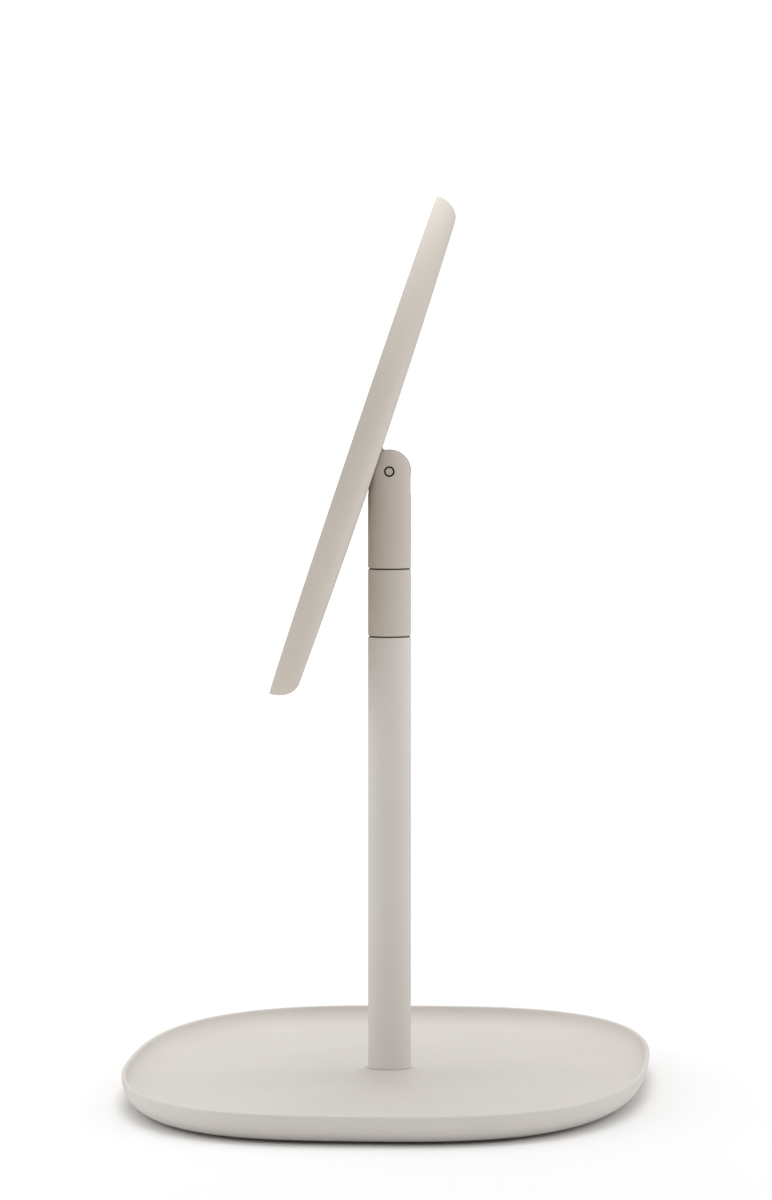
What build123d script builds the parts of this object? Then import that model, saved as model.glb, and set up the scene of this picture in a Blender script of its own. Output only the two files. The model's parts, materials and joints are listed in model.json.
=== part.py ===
"""Table-top shaving mirror: a round tilting mirror on a telescopic post that stands in an oval tray.

Millimetres, +Z up. The origin is on the post's axis at the surface that the tray stands on.
The tray is 280 mm long in Y and 175 mm wide in X. The mirror faces -X and leans back towards +X.
"""

import os
from math import cos, pi, radians, sin

from build123d import *

os.makedirs("parts", exist_ok=True)

# ---------------------------------------------------------------- driving dimensions

# Clearances
fit = 0.02  # radial, between pieces of one body that are pressed or screwed together
running = 0.05  # radial or axial, between pieces that move on each other
free = 0.35  # between moving pieces that never touch
thread_lead = 0.4  # chamfer at a screw's end

# Tray
tray_length = 280.0
tray_width = 175.0
length_power = 2.47  # superellipse power along the tray's length
width_power = 3.02  # superellipse power across it
tray_bottom = 1.0
tray_height = 9.0
tray_floor = 2.4  # thickness of the flat floor
rim_width = 1.5
rim_round = 0.6
outer_inset = 7.5  # how far the outer wall curves in under the rim
inner_inset = 12.0  # how far the inner wall's cove reaches in to the floor
boss_height = 3.0  # above the tray's floor
boss_margin = 1.0  # ledge round the post's foot
boss_reach = 20.0  # radius where the boss's flare meets the floor
wall_steps = 6  # sections in the height of each wall
outline_points = 48

# Feet, under the tray
foot_radius = 6.0
foot_recess = 0.6
foot_edge = 0.3
foot_x = 52.0
foot_y = 98.0

# Post tube and what joins it to the tray
post_radius = 7.25
tube_wall = 1.0
tube_length = 145.7
tube_edge = 0.2
plug_length = 16.0
plug_edge = 0.4
base_screw_radius = 2.5
base_screw_length = 14.0
base_head_radius = 4.6
base_head_height = 2.4
base_head_round = 0.8
base_key_radius = 1.6
base_key_depth = 1.5
base_washer_radius = 6.0
base_washer_height = 0.8
base_recess_radius = 7.0
base_recess_depth = 3.6
screw_room = 0.1  # radial, round the screw in the tray

# Telescopic stem
travel = 70.0
stem_radius = 4.75
stem_wall = 1.0
bush_length = 14.0
seam = 0.5  # dark line at each end of the collar
seam_inset = 0.35
shoe_length = 16.0
shoe_socket = 8.0
shoe_edge = 0.5
shoe_pin_radius = 1.0
shoe_pin_edge = 0.2
ring_section = 0.88  # radius of the friction ring's round section
ring_groove_width = 2.0
collar_length = 22.3
collar_web = 3.5
stem_grip = 13.9  # length of stem held in the collar
collar_edge = 0.2

# Swivel and head
bolt_shoulder_radius = 2.5
bolt_thread_radius = 2.1
bolt_thread_length = 10.0
blind_depth = 2.0  # of the head's hole beyond the bolt's end
bolt_head_radius = 4.2
bolt_head_height = 3.0
bolt_key_radius = 1.6
bolt_key_depth = 1.6
spring_washer_radius = 4.5
spring_washer_height = 0.6
head_length = 32.5  # from the head's lower face to the hinge pin's axis
slot_room = 0.5  # between the lug's end and the floor of the head's slot
hinge_washer_thickness = 0.4
hinge_washer_inset = 2.0  # of the washers from the lug's round end
pin_radius = 1.8
pin_recess = 0.45
pin_bevel = 0.37

# Mirror and its hinge lug
mirror_radius = 88.2
mirror_rise = 4.4  # disc centre above the hinge pin's foot, along the disc
mirror_thickness = 9.5  # at the centre
mirror_crown = 1.1  # how much thinner the shell is at its shoulder
shoulder_width = 6.5  # width of the rounding at the back edge
shell_wall = 1.6
rim_wall = 1.9
ledge_width = 6.0
glass_thickness = 3.0
glass_setback = 0.2
pad_thickness = 0.5
pad_margin = 3.0
lug_thickness = 2.2
lug_flare = 0.25  # how much wider the lug is where it leaves the shell
lug_fillet = 0.95
flange_thickness = 1.5
flange_size = 24.0
flange_width = 31.0
flange_corner = 3.0
lug_screw_radius = 1.1
lug_screw_head_radius = 2.1
lug_screw_length = 4.4
lug_screw_spacing = 15.0
lug_screw_spread = 22.0
lug_boss_margin = 1.0  # of the shell's boss round the lug's flange
lug_boss_corner = 4.0
pocket_wall = 1.5  # shell left between the head's pocket and the lug's flange
cavity_cove = 6.0
cove_sagitta = 1.5
glass_gap = 0.15
glass_edge = 0.4

# Pose at rest, degrees
rest_swivel = 3.4  # head turned from the tray's axis, anticlockwise from above
rest_tilt = 18.65  # mirror leaning back from the vertical
forward_limit = 8.0  # least lean, where the shell would meet the post

# ---------------------------------------------------------------- levels and planes

tray_rim = tray_bottom + tray_height
floor_level = tray_bottom + tray_floor
boss_top = floor_level + boss_height
tube_bottom = boss_top
tube_top = tube_bottom + tube_length
tube_bore = post_radius - tube_wall
bush_flange = seam - running
bush_bottom = tube_top - bush_length
collar_bottom = tube_top + seam
collar_top = collar_bottom + collar_length
web_bottom = collar_top - collar_web
stem_top = collar_bottom + stem_grip
shoe_top = bush_bottom - travel
shoe_bottom = shoe_top - shoe_length
stem_bottom = shoe_top - shoe_socket
head_bottom = collar_top + seam
pin_height = head_bottom + head_length
seam_radius = post_radius - seam_inset

swivel = radians(rest_swivel)
tilt = radians(rest_tilt)
forward = Vector(-cos(swivel), -sin(swivel), 0)  # horizontal, out of the mirror's face
pin_centre = Vector(0, 0, pin_height)
face_normal = forward * cos(tilt) + Vector(0, 0, sin(tilt))
face_up = Vector(0, 0, cos(tilt)) - forward * sin(tilt)

# Across the hinge, looking along the pin: x is away from the mirror, y is up
head_side = Plane(origin=pin_centre, x_dir=forward * -1, z_dir=Vector(0, 0, 1).cross(forward))
# The disc seen from its front: x is up the disc, z is out of its face, origin on the pin
face_plane = Plane(origin=pin_centre, x_dir=face_up, z_dir=face_normal)
# The disc seen along the pin: x is up the disc, y is out of its face
lug_side = Plane(origin=pin_centre, x_dir=face_up, z_dir=face_up.cross(face_normal))
disc_side = Plane(origin=pin_centre + face_up * mirror_rise, x_dir=face_up, z_dir=lug_side.z_dir)
disc_axis = Axis(disc_side.origin, face_normal)

# Hinge, outwards from the lug to the head's ears
slot_width = lug_thickness + 2 * (hinge_washer_thickness + running)
slot_depth = post_radius + slot_room
slot_reach = 4 * post_radius  # well past the dome on every side
lug_radius = post_radius
lug_foot = lug_radius + lug_flare

# Mirror, from the pocket that clears the head to the front plane, ahead of the pin's axis
pocket_radius = post_radius + free
flange_back = pocket_radius + pocket_wall
ledge_level = flange_back + flange_thickness
glass_back = ledge_level + pad_thickness
glass_front = glass_back + glass_thickness
mirror_front = glass_front + glass_setback
back_level = mirror_front - mirror_thickness
shoulder_level = back_level + mirror_crown
shoulder_radius = mirror_radius - shoulder_width
glass_radius = mirror_radius - rim_wall
cavity_radius = glass_radius - ledge_width

# Boss that carries the lug's flange and holds the pocket's lower end
lean = radians(forward_limit)
boss_down = (pocket_radius - back_level * cos(lean)) / sin(lean)
boss_up = flange_size / 2 + lug_boss_margin
boss_width = flange_width + 2 * lug_boss_margin


def outline(inset):
    """Points of the tray's superellipse, drawn in from the rim by an inset."""
    points = []
    for step in range(outline_points):
        turn = 2 * pi * step / outline_points
        across, along = cos(turn), sin(turn)
        x = (tray_width / 2 - inset) * abs(across) ** (2 / width_power)
        y = (tray_length / 2 - inset) * abs(along) ** (2 / length_power)
        points.append((x if across > 0 else -x, y if along > 0 else -y))
    return points


def finish(builder, name):
    """Label a finished piece and write it out."""
    builder.part.label = name
    export_step(builder.part, f"parts/{name}.step")


# ---------------------------------------------------------------- base: tray, feet and post

with BuildPart() as tray:
    for step in range(wall_steps):
        angle = radians(90 * step / (wall_steps - 1))
        with BuildSketch(Plane.XY.offset(tray_rim - tray_height * cos(angle))):
            with BuildLine():
                Spline(*outline(outer_inset * (1 - sin(angle))), periodic=True)
            make_face()
    loft()
    cove_width = inner_inset - rim_width
    cove_height = tray_rim - floor_level
    for step in range(wall_steps):
        angle = radians(90 * step / (wall_steps - 1))
        with BuildSketch(Plane.XY.offset(floor_level + cove_height * (1 - cos(angle)))):
            with BuildLine():
                Spline(*outline(inner_inset - cove_width * sin(angle)), periodic=True)
            make_face()
    loft(mode=Mode.SUBTRACT)
    fillet(tray.edges().group_by(Axis.Z)[-1], rim_round)
    with BuildSketch(Plane.XZ):
        with BuildLine():
            flare = TangentArc(
                (boss_reach, floor_level), (post_radius + boss_margin, boss_top), tangent=(-1, 0)
            )
            Polyline(flare @ 1, (0, boss_top), (0, tray_bottom), (boss_reach, tray_bottom), flare @ 0)
        make_face()
    revolve(axis=Axis.Z)
    with BuildSketch(Plane.XY.offset(tray_bottom)):
        Circle(base_recess_radius)
    extrude(amount=base_recess_depth, mode=Mode.SUBTRACT)
    with BuildSketch(Plane.XY.offset(tray_bottom)):
        Circle(base_screw_radius + screw_room)
    extrude(amount=tray_height, mode=Mode.SUBTRACT)
    with BuildSketch(Plane.XY.offset(tray_bottom)):
        with GridLocations(2 * foot_x, 2 * foot_y, 2, 2):
            Circle(foot_radius + fit)
    extrude(amount=foot_recess, mode=Mode.SUBTRACT)
finish(tray, "tray")

foot_number = 0
for side in (-1, 1):
    for end in (-1, 1):
        foot_number += 1
        with BuildPart() as foot_pad:
            with BuildSketch():
                with Locations((side * foot_x, end * foot_y)):
                    Circle(foot_radius)
            extrude(amount=tray_bottom + foot_recess)
            chamfer(foot_pad.edges().group_by(Axis.Z)[0], foot_edge)
        finish(foot_pad, f"foot_pad_{foot_number}")

recess_top = tray_bottom + base_recess_depth
with BuildPart() as base_washer:
    with BuildSketch(Plane.XY.offset(recess_top - base_washer_height)):
        Circle(base_washer_radius)
        Circle(base_screw_radius + running, mode=Mode.SUBTRACT)
    extrude(amount=base_washer_height)
finish(base_washer, "base_washer")

base_seat = recess_top - base_washer_height
with BuildPart() as base_screw:
    with BuildSketch(Plane.XY.offset(base_seat - base_head_height)):
        Circle(base_head_radius)
    extrude(amount=base_head_height)
    fillet(base_screw.edges().group_by(Axis.Z)[0], base_head_round)
    with BuildSketch(Plane.XY.offset(base_seat)):
        Circle(base_screw_radius)
    extrude(amount=base_screw_length)
    chamfer(base_screw.edges().group_by(Axis.Z)[-1], thread_lead)
    with BuildSketch(Plane.XY.offset(base_seat - base_head_height)):
        RegularPolygon(base_key_radius, 6)
    extrude(amount=base_key_depth, mode=Mode.SUBTRACT)
finish(base_screw, "base_screw")

with BuildPart() as tube_plug:
    with BuildSketch(Plane.XY.offset(tube_bottom)):
        Circle(tube_bore - fit)
        Circle(base_screw_radius + fit, mode=Mode.SUBTRACT)
    extrude(amount=plug_length)
    chamfer(tube_plug.edges().group_by(Axis.Z)[-1], plug_edge)
finish(tube_plug, "tube_plug")

with BuildPart() as post_tube:
    with BuildSketch(Plane.XY.offset(tube_bottom)):
        Circle(post_radius)
        Circle(tube_bore, mode=Mode.SUBTRACT)
    extrude(amount=tube_length)
    rims = post_tube.edges().filter_by(GeomType.CIRCLE)
    chamfer(rims.filter_by(lambda rim: rim.radius > tube_bore + fit), tube_edge)
finish(post_tube, "post_tube")

with BuildPart() as guide_bush:
    with BuildSketch(Plane.XY.offset(bush_bottom)):
        Circle(tube_bore - fit)
    extrude(amount=bush_length)
    with BuildSketch(Plane.XY.offset(tube_top)):
        Circle(seam_radius)
    extrude(amount=bush_flange)
    with BuildSketch(Plane.XY.offset(bush_bottom)):
        Circle(stem_radius + running)
    extrude(amount=bush_length + bush_flange, mode=Mode.SUBTRACT)
finish(guide_bush, "guide_bush")

# ---------------------------------------------------------------- stem that slides in the post

with BuildPart() as stem_tube:
    with BuildSketch(Plane.XY.offset(stem_bottom)):
        Circle(stem_radius)
        Circle(stem_radius - stem_wall, mode=Mode.SUBTRACT)
    extrude(amount=stem_top - stem_bottom)
    with BuildSketch(Plane.XZ.offset(-tube_bore)):
        with Locations((0, stem_bottom + shoe_socket / 2)):
            Circle(shoe_pin_radius + fit)
    extrude(amount=2 * tube_bore, mode=Mode.SUBTRACT)
finish(stem_tube, "stem_tube")

ring_level = shoe_bottom + (shoe_length - shoe_socket) / 2
ring_centre = tube_bore - fit - ring_section
with BuildPart() as slide_shoe:
    with BuildSketch(Plane.XY.offset(shoe_bottom)):
        Circle(tube_bore - running)
    extrude(amount=shoe_length)
    chamfer(slide_shoe.edges().group_by(Axis.Z)[0], shoe_edge)
    with BuildSketch(Plane.XY.offset(stem_bottom)):
        Circle(stem_radius + fit)
    extrude(amount=shoe_socket, mode=Mode.SUBTRACT)
    with BuildSketch(Plane.XY.offset(ring_level - ring_groove_width / 2)):
        Circle(tube_bore)
        Circle(ring_centre - ring_section - fit, mode=Mode.SUBTRACT)
    extrude(amount=ring_groove_width, mode=Mode.SUBTRACT)
    with BuildSketch(Plane.XZ.offset(-tube_bore)):
        with Locations((0, stem_bottom + shoe_socket / 2)):
            Circle(shoe_pin_radius + fit)
    extrude(amount=2 * tube_bore, mode=Mode.SUBTRACT)
finish(slide_shoe, "slide_shoe")

pin_half = tube_bore - 2 * free
with BuildPart() as shoe_pin:
    with BuildSketch(Plane.XZ.offset(-pin_half)):
        with Locations((0, stem_bottom + shoe_socket / 2)):
            Circle(shoe_pin_radius)
    extrude(amount=2 * pin_half)
    chamfer(shoe_pin.edges().filter_by(GeomType.CIRCLE), shoe_pin_edge)
finish(shoe_pin, "shoe_pin")

with BuildPart() as friction_ring:
    with BuildSketch(Plane.XZ):
        with Locations((ring_centre, ring_level)):
            Circle(ring_section)
    revolve(axis=Axis.Z)
finish(friction_ring, "friction_ring")

with BuildPart() as collar:
    with BuildSketch(Plane.XY.offset(collar_bottom)):
        Circle(post_radius)
    extrude(amount=collar_length)
    chamfer(collar.edges().filter_by(GeomType.CIRCLE), collar_edge)
    with BuildSketch(Plane.XY.offset(collar_bottom)):
        Circle(stem_radius + fit)
    extrude(amount=collar_length - collar_web, mode=Mode.SUBTRACT)
    with BuildSketch(Plane.XY.offset(collar_bottom)):
        Circle(bolt_shoulder_radius + running)
    extrude(amount=collar_length, mode=Mode.SUBTRACT)
finish(collar, "collar")

# ---------------------------------------------------------------- head that swivels on the stem

with BuildPart() as thrust_washer:
    with BuildSketch(Plane.XY.offset(collar_top + running)):
        Circle(seam_radius)
        Circle(bolt_shoulder_radius + fit, mode=Mode.SUBTRACT)
    extrude(amount=seam - running)
finish(thrust_washer, "thrust_washer")

washer_level = web_bottom - running - spring_washer_height
with BuildPart() as spring_washer:
    with BuildSketch(Plane.XY.offset(washer_level)):
        Circle(spring_washer_radius)
        Circle(bolt_shoulder_radius + fit, mode=Mode.SUBTRACT)
    extrude(amount=spring_washer_height)
finish(spring_washer, "spring_washer")

with BuildPart() as swivel_bolt:
    with BuildSketch(Plane.XY.offset(washer_level - bolt_head_height)):
        Circle(bolt_head_radius)
    extrude(amount=bolt_head_height)
    chamfer(swivel_bolt.edges().group_by(Axis.Z)[0], thread_lead)
    with BuildSketch(Plane.XY.offset(washer_level)):
        Circle(bolt_shoulder_radius)
    extrude(amount=head_bottom - washer_level)
    with BuildSketch(Plane.XY.offset(head_bottom)):
        Circle(bolt_thread_radius)
    extrude(amount=bolt_thread_length)
    chamfer(swivel_bolt.edges().group_by(Axis.Z)[-1], thread_lead)
    with BuildSketch(Plane.XY.offset(washer_level - bolt_head_height)):
        RegularPolygon(bolt_key_radius, 6)
    extrude(amount=bolt_key_depth, mode=Mode.SUBTRACT)
finish(swivel_bolt, "swivel_bolt")

with BuildPart() as head:
    with BuildSketch(head_side):
        with BuildLine():
            dome = CenterArc((0, 0), post_radius, 0, 90)
            Polyline(dome @ 1, (0, -head_length), (post_radius, -head_length), dome @ 0)
        make_face()
    revolve(axis=Axis.Z)
    chamfer(head.edges().group_by(Axis.Z)[0], collar_edge)
    with BuildSketch(head_side):
        with Locations((0, -slot_depth)):
            Rectangle(slot_reach, slot_reach, align=(Align.CENTER, Align.MIN))
    extrude(amount=slot_width / 2, both=True, mode=Mode.SUBTRACT)
    with BuildSketch(head_side):
        Circle(pin_radius)
    extrude(amount=post_radius, both=True, mode=Mode.SUBTRACT)
    with BuildSketch(Plane.XY.offset(head_bottom)):
        Circle(bolt_thread_radius + fit)
    extrude(amount=bolt_thread_length + blind_depth, mode=Mode.SUBTRACT)
finish(head, "head")

with BuildPart() as hinge_pin:
    with BuildSketch(head_side):
        Circle(pin_radius - fit)
    extrude(amount=post_radius - pin_recess, both=True)
    chamfer(hinge_pin.edges().filter_by(GeomType.CIRCLE), pin_bevel)
finish(hinge_pin, "hinge_pin")

for number, side in ((1, 1), (2, -1)):
    washer_plane = head_side.offset(side * (lug_thickness / 2 + running))
    with BuildPart() as hinge_washer:
        with BuildSketch(washer_plane):
            Circle(lug_radius - hinge_washer_inset)
            Circle(pin_radius, mode=Mode.SUBTRACT)
        extrude(amount=side * hinge_washer_thickness)
    finish(hinge_washer, f"hinge_washer_{number}")

# ---------------------------------------------------------------- mirror that tilts on the head

# Post's axis at the forward limit, in the lug's side plane, where the shell needs room for it
post_down = face_up * -cos(lean) - face_normal * sin(lean)
pocket_side = Plane(origin=pin_centre, x_dir=post_down, z_dir=lug_side.z_dir)
pocket_length = pocket_radius / sin(lean)
screw_depth = lug_screw_length - flange_thickness

with BuildPart() as hinge_lug:
    with BuildSketch(lug_side) as blade:
        Circle(lug_radius)
        with Locations((0, back_level)):
            Rectangle(2 * lug_foot, flange_back - back_level, align=(Align.CENTER, Align.MIN))
        roots = blade.vertices().filter_by(
            lambda v: abs(v.Y - back_level) < fit and abs(v.X) < lug_foot - fit
        )
        fillet(roots, lug_fillet)
    extrude(amount=lug_thickness / 2, both=True)
    with BuildSketch(face_plane.offset(flange_back)):
        RectangleRounded(flange_size, flange_width, flange_corner)
    extrude(amount=flange_thickness)
    with BuildSketch(lug_side):
        Circle(pin_radius - fit + running)
    extrude(amount=lug_thickness, both=True, mode=Mode.SUBTRACT)
    with Locations(face_plane.offset(ledge_level)):
        with GridLocations(lug_screw_spacing, lug_screw_spread, 2, 2):
            CounterSinkHole(lug_screw_radius + fit, lug_screw_head_radius + fit, flange_thickness)
finish(hinge_lug, "hinge_lug")

screw_level = flange_back - screw_depth
with BuildPart() as lug_screws:
    with BuildSketch(face_plane.offset(screw_level)):
        with GridLocations(lug_screw_spacing, lug_screw_spread, 2, 2):
            Circle(lug_screw_radius)
    extrude(amount=lug_screw_length)
    cone_height = lug_screw_head_radius - lug_screw_radius
    with BuildSketch(face_plane.offset(ledge_level - cone_height)):
        with GridLocations(lug_screw_spacing, lug_screw_spread, 2, 2):
            Circle(lug_screw_radius)
    with BuildSketch(face_plane.offset(ledge_level)):
        with GridLocations(lug_screw_spacing, lug_screw_spread, 2, 2):
            Circle(lug_screw_head_radius)
    extrude(amount=-cone_height, taper=45)
finish(lug_screws, "lug_screws")

with BuildPart() as back_shell:
    # Crowned disc with a rounded back edge and a sharp front rim
    with BuildSketch(disc_side):
        with BuildLine():
            crown = ThreePointArc(
                (0, back_level),
                (shoulder_radius / 2, back_level + mirror_crown / 4),
                (shoulder_radius, shoulder_level),
            )
            shoulder = EllipticalCenterArc(
                (shoulder_radius, mirror_front),
                shoulder_width,
                mirror_front - shoulder_level,
                start_angle=270,
                arc_size=90,
            )
            Polyline(shoulder @ 1, (0, mirror_front), crown @ 0)
        make_face()
    revolve(axis=disc_axis)
    # Hollow for the glass, the ledge it is stuck to and the cavity behind it
    with BuildSketch(disc_side):
        with BuildLine():
            hollow = ThreePointArc(
                (0, back_level + shell_wall),
                (cavity_radius / 2, back_level + shell_wall + mirror_crown / 4),
                (cavity_radius - cavity_cove, shoulder_level + shell_wall),
            )
            cove = SagittaArc(hollow @ 1, (cavity_radius, ledge_level), -cove_sagitta)
            Polyline(
                cove @ 1,
                (glass_radius, ledge_level),
                (glass_radius, mirror_front),
                (0, mirror_front),
                hollow @ 0,
            )
        make_face()
    revolve(axis=disc_axis, mode=Mode.SUBTRACT)
    # Boss that the lug is screwed to
    with BuildSketch(face_plane.offset(back_level + mirror_crown)):
        with Locations((boss_up / 2 - boss_down / 2, 0)):
            RectangleRounded(boss_up + boss_down, boss_width, lug_boss_corner)
    extrude(amount=flange_back - back_level - mirror_crown)
    # Pocket that clears the head over the whole tilt
    with BuildSketch(pocket_side):
        with BuildLine():
            nose = CenterArc((0, 0), pocket_radius, 90, 90)
            Polyline(nose @ 1, (pocket_length, 0), (pocket_length, pocket_radius), nose @ 0)
        make_face()
    revolve(axis=Axis(pin_centre, post_down), mode=Mode.SUBTRACT)
    # Slot for the lug and holes for its screws
    with BuildSketch(face_plane):
        Rectangle(2 * (lug_foot + fit), lug_thickness + 2 * fit)
    extrude(amount=flange_back, mode=Mode.SUBTRACT)
    with BuildSketch(face_plane.offset(screw_level - fit)):
        with GridLocations(lug_screw_spacing, lug_screw_spread, 2, 2):
            Circle(lug_screw_radius + fit)
    extrude(amount=screw_depth + fit, mode=Mode.SUBTRACT)
finish(back_shell, "back_shell")

disc_plane = Plane(origin=disc_side.origin, x_dir=face_up, z_dir=face_normal)
with BuildPart() as mounting_pad:
    with BuildSketch(disc_plane.offset(ledge_level)):
        Circle(glass_radius - pad_margin)
    extrude(amount=pad_thickness)
finish(mounting_pad, "mounting_pad")

with BuildPart() as mirror_glass:
    with BuildSketch(disc_plane.offset(glass_back)):
        Circle(glass_radius - glass_gap)
    extrude(amount=glass_thickness)
    chamfer(mirror_glass.edges().filter_by(GeomType.CIRCLE), glass_edge)
finish(mirror_glass, "mirror_glass")
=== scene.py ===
"""Looks of the extendable table shaving mirror: finishes, camera and studio.

Metres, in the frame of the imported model: +Z up, the post's axis at the origin, the mirror facing -X.
"""

import json
import math

import bpy
from mathutils import Matrix, Vector

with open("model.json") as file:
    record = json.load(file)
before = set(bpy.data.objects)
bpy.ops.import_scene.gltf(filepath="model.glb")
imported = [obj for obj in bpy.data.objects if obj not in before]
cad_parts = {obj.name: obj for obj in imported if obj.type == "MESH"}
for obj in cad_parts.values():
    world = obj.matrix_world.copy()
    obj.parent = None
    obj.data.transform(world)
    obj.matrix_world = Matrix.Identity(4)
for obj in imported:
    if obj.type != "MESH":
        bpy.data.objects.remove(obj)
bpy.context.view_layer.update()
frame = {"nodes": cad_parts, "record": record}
nodes = frame["nodes"]
joints = {joint["name"]: joint for joint in frame["record"]["behaviour"]["joints"]}

# ---------------------------------------------------------------- colours, linear RGB

SAND = (0.655, 0.618, 0.580)
GRIP = (0.630, 0.577, 0.518)
NYLON = (0.040, 0.030, 0.023)
RUBBER = (0.028, 0.027, 0.026)
FOAM = (0.04, 0.04, 0.04)
POLISHED_STEEL = (0.62, 0.61, 0.60)
ALUMINIUM = (0.66, 0.66, 0.67)
ZINC = (0.55, 0.55, 0.53)
PIN_STEEL = (0.62, 0.58, 0.54)
# Painted shadow: the dark ring on each pin end, for the gap of the hole round the pin
PIN_GAP_SHADE = (0.008, 0.007, 0.006)
SILVER_DULL = (0.90, 0.925, 0.92)
SILVER_CLEAR = (0.93, 0.945, 0.94)
FLOOR = (0.93, 0.93, 0.93)

# ---------------------------------------------------------------- sizes on the surfaces

COAT_GRAIN = 0.00045
COAT_DEPTH = 0.00004
COAT_DRIFT = 0.06
GRIP_GRAIN = 0.0006
GRIP_DEPTH = 0.00008
MOULD_CLOUD = 0.004
MOULD_SHEEN = 0.001
MOULD_GRAIN = 0.0003
MOULD_DEPTH = 0.00002
TOOL_MARK = 0.0004
TOOL_DEPTH = 0.00001
PIN_FACE_RADIUS = 0.0012
# Width of the soft edge of the painted shadow ring
PIN_SHADE_EDGE = 0.00008
SILVER_CLOUD = 0.15
SILVER_SMEAR = 0.08

# Range that a noise's value stays in over most of a surface
NOISE_LOW = 0.3
NOISE_HIGH = 0.7

# ---------------------------------------------------------------- material helpers


class Finish:
    """A node material with one Principled shader, built step by step."""

    def __init__(self, name):
        self.material = bpy.data.materials.new(name)
        self.material.use_nodes = True
        self.tree = self.material.node_tree
        self.shader = self.tree.nodes["Principled BSDF"]
        self.place = self.tree.nodes.new("ShaderNodeTexCoord").outputs["Object"]

    def set(self, **values):
        """Constants for the shader's sockets, named with _ for a space."""
        for socket, value in values.items():
            self.shader.inputs[socket.replace("_", " ")].default_value = value

    def link(self, output, socket):
        self.tree.links.new(output, self.shader.inputs[socket])

    def noise(self, size, detail=2.0, stretch=None):
        """Noise whose features are about size metres across."""
        texture = self.tree.nodes.new("ShaderNodeTexNoise")
        texture.inputs["Scale"].default_value = 1 / size
        texture.inputs["Detail"].default_value = detail
        place = self.place
        if stretch:
            mapping = self.tree.nodes.new("ShaderNodeMapping")
            mapping.inputs["Scale"].default_value = stretch
            self.tree.links.new(place, mapping.inputs["Vector"])
            place = mapping.outputs["Vector"]
        self.tree.links.new(place, texture.inputs["Vector"])
        return texture.outputs["Fac"]

    def remap(self, value, low=NOISE_LOW, high=NOISE_HIGH, to_low=0.0, to_high=1.0):
        """The value with low..high stretched to to_low..to_high, and held there beyond."""
        node = self.tree.nodes.new("ShaderNodeMapRange")
        limits = {"From Min": low, "From Max": high, "To Min": to_low, "To Max": to_high}
        for socket, number in limits.items():
            node.inputs[socket].default_value = number
        self.tree.links.new(value, node.inputs["Value"])
        return node.outputs["Result"]

    def mix(self, factor, first, second):
        """Colour between first and second, each a tuple or another node's output."""
        node = self.tree.nodes.new("ShaderNodeMix")
        node.data_type = "RGBA"
        # The node has sockets of the same name for each data type, so the colour ones go by number
        for socket, colour in ((node.inputs[6], first), (node.inputs[7], second)):
            if isinstance(colour, tuple):
                socket.default_value = (*colour, 1)
            else:
                self.tree.links.new(colour, socket)
        self.tree.links.new(factor, node.inputs[0])
        return node.outputs[2]

    def vector(self, operation, first, second=(0, 0, 0)):
        """Result of one vector operation on a node's output and a constant."""
        node = self.tree.nodes.new("ShaderNodeVectorMath")
        node.operation = operation
        node.inputs[1].default_value = second
        self.tree.links.new(first, node.inputs[0])
        return node.outputs["Value" if operation == "LENGTH" else "Vector"]

    def bump(self, height, depth, strength):
        node = self.tree.nodes.new("ShaderNodeBump")
        node.inputs["Distance"].default_value = depth
        node.inputs["Strength"].default_value = strength
        self.tree.links.new(height, node.inputs["Height"])
        self.link(node.outputs["Normal"], "Normal")


def tint(colour, *factors):
    """The colour times one factor for all three channels, or one for each."""
    if len(factors) == 1:
        factors = factors * 3
    return tuple(min(1.0, channel * factor) for channel, factor in zip(colour, factors))


# ---------------------------------------------------------------- finishes


def powder_coat(name, colour, grain=COAT_GRAIN, depth=COAT_DEPTH, speckle=0.05):
    """Matte textured powder coat: fine pebbled grain, faint speckle and slow drift of tone."""
    finish = Finish(name)
    cloud = finish.remap(finish.noise(COAT_DRIFT, 3), 0.35, 0.65)
    drift = finish.mix(cloud, tint(colour, 0.975), tint(colour, 1.02))
    specks = finish.remap(finish.noise(grain * 0.8, 1), 0.52, 0.75)
    finish.link(finish.mix(specks, drift, tint(colour, 1 - speckle)), "Base Color")
    sheen = finish.remap(finish.noise(grain * 3), to_low=0.56, to_high=0.68)
    finish.link(sheen, "Roughness")
    finish.bump(finish.noise(grain), depth, 0.6)
    return finish.material


def moulded(name, colour, rough=0.5):
    """Plain moulded nylon, rubber or foam, slightly cloudy."""
    finish = Finish(name)
    cloud = finish.remap(finish.noise(MOULD_CLOUD, 3))
    finish.link(finish.mix(cloud, tint(colour, 0.9), tint(colour, 1.1)), "Base Color")
    sheen = finish.remap(finish.noise(MOULD_SHEEN), to_low=rough - 0.06, to_high=rough + 0.08)
    finish.link(sheen, "Roughness")
    finish.bump(finish.noise(MOULD_GRAIN), MOULD_DEPTH, 0.5)
    return finish.material


def metal(name, colour, rough, stretch=(1, 1, 1)):
    """Machined or plated metal; a stretch below 1 draws the marks out along that axis."""
    finish = Finish(name)
    finish.set(Metallic=1.0)
    marks = finish.noise(TOOL_MARK, 3, stretch)
    finish.link(finish.mix(finish.remap(marks), tint(colour, 0.9), tint(colour, 1.05)), "Base Color")
    finish.link(finish.remap(marks, to_low=rough * 0.8, to_high=rough * 1.25), "Roughness")
    finish.bump(marks, TOOL_DEPTH, 0.4)
    return finish.material


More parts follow.
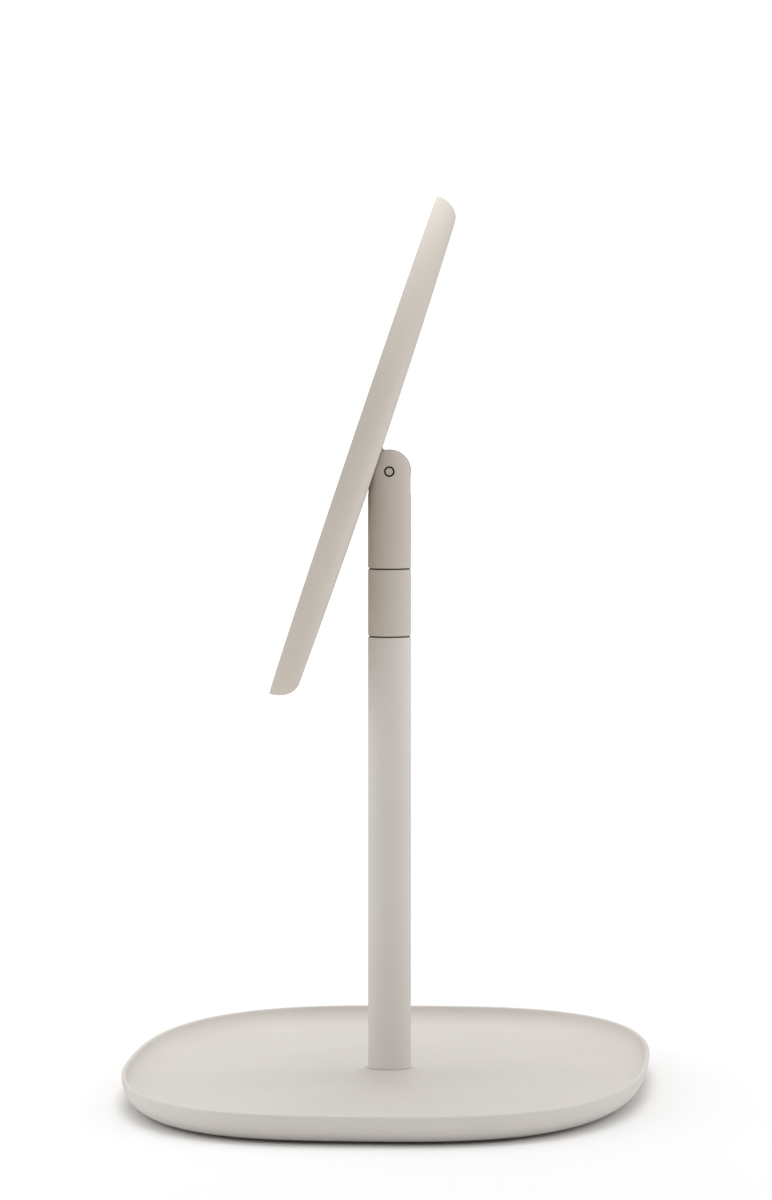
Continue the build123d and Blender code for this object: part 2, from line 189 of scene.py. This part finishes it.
def pin_end(name):
    """Turned steel, painted dark beyond PIN_FACE_RADIUS: each end shows a painted shadow ring for the
    gap of the hole round the pin.
    """
    finish = Finish(name)
    finish.set(Metallic=1.0)
    hinge = joints["mirror_tilt"]
    offset = finish.vector("SUBTRACT", finish.place, hinge["pos_m"])
    radius = finish.vector("LENGTH", finish.vector("CROSS_PRODUCT", offset, hinge["axis"]))
    # Mask of the painted shadow ring round the pin face
    ring_shade = finish.remap(radius, PIN_FACE_RADIUS, PIN_FACE_RADIUS + PIN_SHADE_EDGE)
    marks = finish.remap(finish.noise(TOOL_MARK, 3))
    middle = finish.mix(marks, tint(PIN_STEEL, 0.92), tint(PIN_STEEL, 1.05))
    finish.link(finish.mix(ring_shade, middle, PIN_GAP_SHADE), "Base Color")
    finish.link(finish.remap(marks, 0, 1, 0.3, 0.42), "Roughness")
    return finish.material


def mirror_silver(name):
    """Silvered glass, with a hardly visible drift of tone and sharpness."""
    finish = Finish(name)
    finish.set(Metallic=1.0)
    finish.link(finish.mix(finish.noise(SILVER_CLOUD), SILVER_DULL, SILVER_CLEAR), "Base Color")
    sharpness = finish.remap(finish.noise(SILVER_SMEAR), to_low=0.012, to_high=0.02)
    finish.link(sharpness, "Roughness")
    return finish.material


# ---------------------------------------------------------------- finish of each node

sand = powder_coat("sand_powder_coat", SAND)
nylon = moulded("dark_nylon", NYLON)
rubber = moulded("foot_rubber", RUBBER, 0.75)
zinc = metal("zinc_plate", ZINC, 0.3)
materials = {
    "tray": sand,
    # Painted light: the post's sand coat is made lighter, for the bounce light from the tray and table
    "post_tube": powder_coat("post_coat_painted_light", tint(SAND, 1.07)),
    # Painted shade: the head's sand coat is darkened and warmed, for the shade the mirror casts on it
    "head": powder_coat("head_coat_painted_shade", tint(SAND, 0.91, 0.88, 0.84)),
    "hinge_lug": sand,
    # Painted shade: the shell's sand coat is darkened and warmed, for the dimmer light on the mirror's
    # edge
    "back_shell": powder_coat("shell_coat_painted_shade", tint(SAND, 0.98, 0.95, 0.90)),
    "collar": powder_coat("grip_texture", GRIP, GRIP_GRAIN, GRIP_DEPTH, speckle=0.14),
    "mirror_glass": mirror_silver("silvered_glass"),
    "mounting_pad": moulded("foam_tape", FOAM, 0.8),
    "stem_tube": metal("polished_steel", POLISHED_STEEL, 0.16, (1, 1, 0.05)),
    "tube_plug": metal("turned_aluminium", ALUMINIUM, 0.3, (1, 1, 8)),
    "hinge_pin": pin_end("turned_pin"),
}
for name in ("guide_bush", "slide_shoe", "thrust_washer", "hinge_washer_1", "hinge_washer_2"):
    materials[name] = nylon
for name in ("base_screw", "base_washer", "shoe_pin", "spring_washer", "swivel_bolt", "lug_screws"):
    materials[name] = zinc
for name in ("foot_pad_1", "foot_pad_2", "foot_pad_3", "foot_pad_4", "friction_ring"):
    materials[name] = rubber
for name, node in nodes.items():
    node.data.materials.clear()
    node.data.materials.append(materials[name])


def add_to_scene(name, data):
    thing = bpy.data.objects.new(name, data)
    bpy.context.scene.collection.objects.link(thing)
    return thing


# ---------------------------------------------------------------- camera

CAMERA_TURN = math.radians(4.15)
CAMERA_PITCH = 0.0530  # radians below level
CAMERA_PLACE = Vector((-0.0012, -1.9, 0.2653))  # before the turn about the post
CAMERA_LENS = 169.7  # mm
CAMERA_SENSOR = 36  # mm

camera = add_to_scene("camera", bpy.data.cameras.new("camera"))
camera.data.lens = CAMERA_LENS
camera.data.sensor_width = CAMERA_SENSOR
turn = Matrix.Rotation(CAMERA_TURN, 4, "Z")
tilt_down = Matrix.Rotation(math.pi / 2 - CAMERA_PITCH, 4, "X")
camera.matrix_world = turn @ Matrix.Translation(CAMERA_PLACE) @ tilt_down
bpy.context.scene.camera = camera

# ---------------------------------------------------------------- studio

# The soft boxes' places and aim are before the turn that the camera also has
BOX_SIZE = 0.8
BOX_AIM = (0, 0, 0.12)
OVERHEAD_PLACE = (0, 0, 1.2)
OVERHEAD_POWER = 5.0
BACK_PLACE = (0, 0.75, 1.0)
BACK_POWER = 2.6

# The world's light comes evenly from all round, and from a wall on the left and one on the right
ROOM_LIGHT = 0.55
LEFT_WALL = 0.80
RIGHT_WALL = 0.74
WALL_RISE = 0.1  # slope of the direction that a wall is brightest in
WALL_SPREAD = 3  # power of the cosine, larger for a narrower glow
BACKDROP = 1.2  # what the camera sees behind the object

# The floor is solid near the object and fades into the backdrop towards its edge
FLOOR_CLEAR = 0.25
FLOOR_REACH = 0.65
FLOOR_ROUGH = 0.9


def soft_box(name, place, power):
    """A square area light, turned with the camera and aimed at the object."""
    data = bpy.data.lights.new(name, "AREA")
    data.shape = "RECTANGLE"
    data.size = BOX_SIZE
    data.size_y = BOX_SIZE
    data.energy = power
    light = add_to_scene(name, data)
    light.location = turn @ Vector(place)
    direction = turn @ Vector(BOX_AIM) - light.location
    light.rotation_euler = direction.to_track_quat("-Z", "Y").to_euler()


soft_box("overhead_box", OVERHEAD_PLACE, OVERHEAD_POWER)
soft_box("back_box", BACK_PLACE, BACK_POWER)

world = bpy.data.worlds.new("studio")
bpy.context.scene.world = world
world.use_nodes = True
shapes = world.node_tree.nodes
links = world.node_tree.links
direction_seen = shapes.new("ShaderNodeTexCoord").outputs["Generated"]


def calculate(operation, first, second):
    """One step of arithmetic on a node's output and a number or another output."""
    step = shapes.new("ShaderNodeMath")
    step.operation = operation
    links.new(first, step.inputs[0])
    if isinstance(second, (int, float)):
        step.inputs[1].default_value = second
    else:
        links.new(second, step.inputs[1])
    return step.outputs["Value"]


def wall_glow(side, strength):
    """Light of a white studio wall on one side, strongest near level."""
    facing = shapes.new("ShaderNodeVectorMath")
    facing.operation = "DOT_PRODUCT"
    facing.inputs[1].default_value = turn.to_3x3() @ Vector((side, 0, WALL_RISE)).normalized()
    links.new(direction_seen, facing.inputs[0])
    towards_wall = calculate("MAXIMUM", facing.outputs["Value"], 0)
    return calculate("MULTIPLY", calculate("POWER", towards_wall, WALL_SPREAD), strength)


walls = calculate("ADD", wall_glow(-1, LEFT_WALL), wall_glow(1, RIGHT_WALL))
room = calculate("ADD", walls, ROOM_LIGHT)
path = shapes.new("ShaderNodeLightPath")
backdrop = shapes.new("ShaderNodeMix")
backdrop.inputs["B"].default_value = BACKDROP
links.new(path.outputs["Is Camera Ray"], backdrop.inputs["Factor"])
links.new(room, backdrop.inputs["A"])
links.new(backdrop.outputs["Result"], shapes["Background"].inputs["Color"])

corner_signs = ((-1, -1), (1, -1), (1, 1), (-1, 1))
corners = [(x * FLOOR_REACH, y * FLOOR_REACH, 0) for x, y in corner_signs]
floor_mesh = bpy.data.meshes.new("floor")
floor_mesh.from_pydata(corners, [], [(0, 1, 2, 3)])
floor = add_to_scene("floor", floor_mesh)
pale_floor = Finish("pale_floor")
pale_floor.set(Base_Color=(*FLOOR, 1), Roughness=FLOOR_ROUGH)
from_post = pale_floor.vector("LENGTH", pale_floor.place)
fade = pale_floor.remap(from_post, FLOOR_CLEAR, FLOOR_REACH, 1.0, 0.0)
pale_floor.link(fade, "Alpha")
floor_mesh.materials.append(pale_floor.material)

bpy.context.scene.view_settings.view_transform = "Standard"
